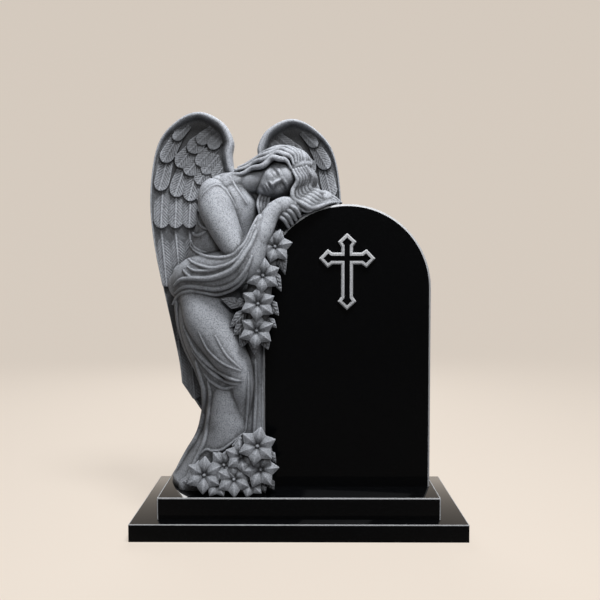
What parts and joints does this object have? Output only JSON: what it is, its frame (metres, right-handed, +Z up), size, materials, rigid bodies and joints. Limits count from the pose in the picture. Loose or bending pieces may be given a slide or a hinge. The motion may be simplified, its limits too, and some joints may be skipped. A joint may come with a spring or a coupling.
{
  "type": "granite angel headstone",
  "caption": "Polished granite headstone with an arched top and a raised cross on a stepped base, with a carved stone angel leaning over its shoulder among garlands of lilies.",
  "frame": {"origin": "middle of the base slab's underside", "axes": "+Z up, -Y out of the headstone's front towards the viewer, +X to the viewer's right"},
  "size_m": [1.15, 0.575, 1.5007],
  "materials": {
    "polished_granite": "polished",
    "carved_granite": "matte"
  },
  "bodies": {
    "root": {"base_slab": "polished_granite", "plinth": "polished_granite", "headstone": "polished_granite", "angel": "carved_granite"}
  },
  "joints": []
}
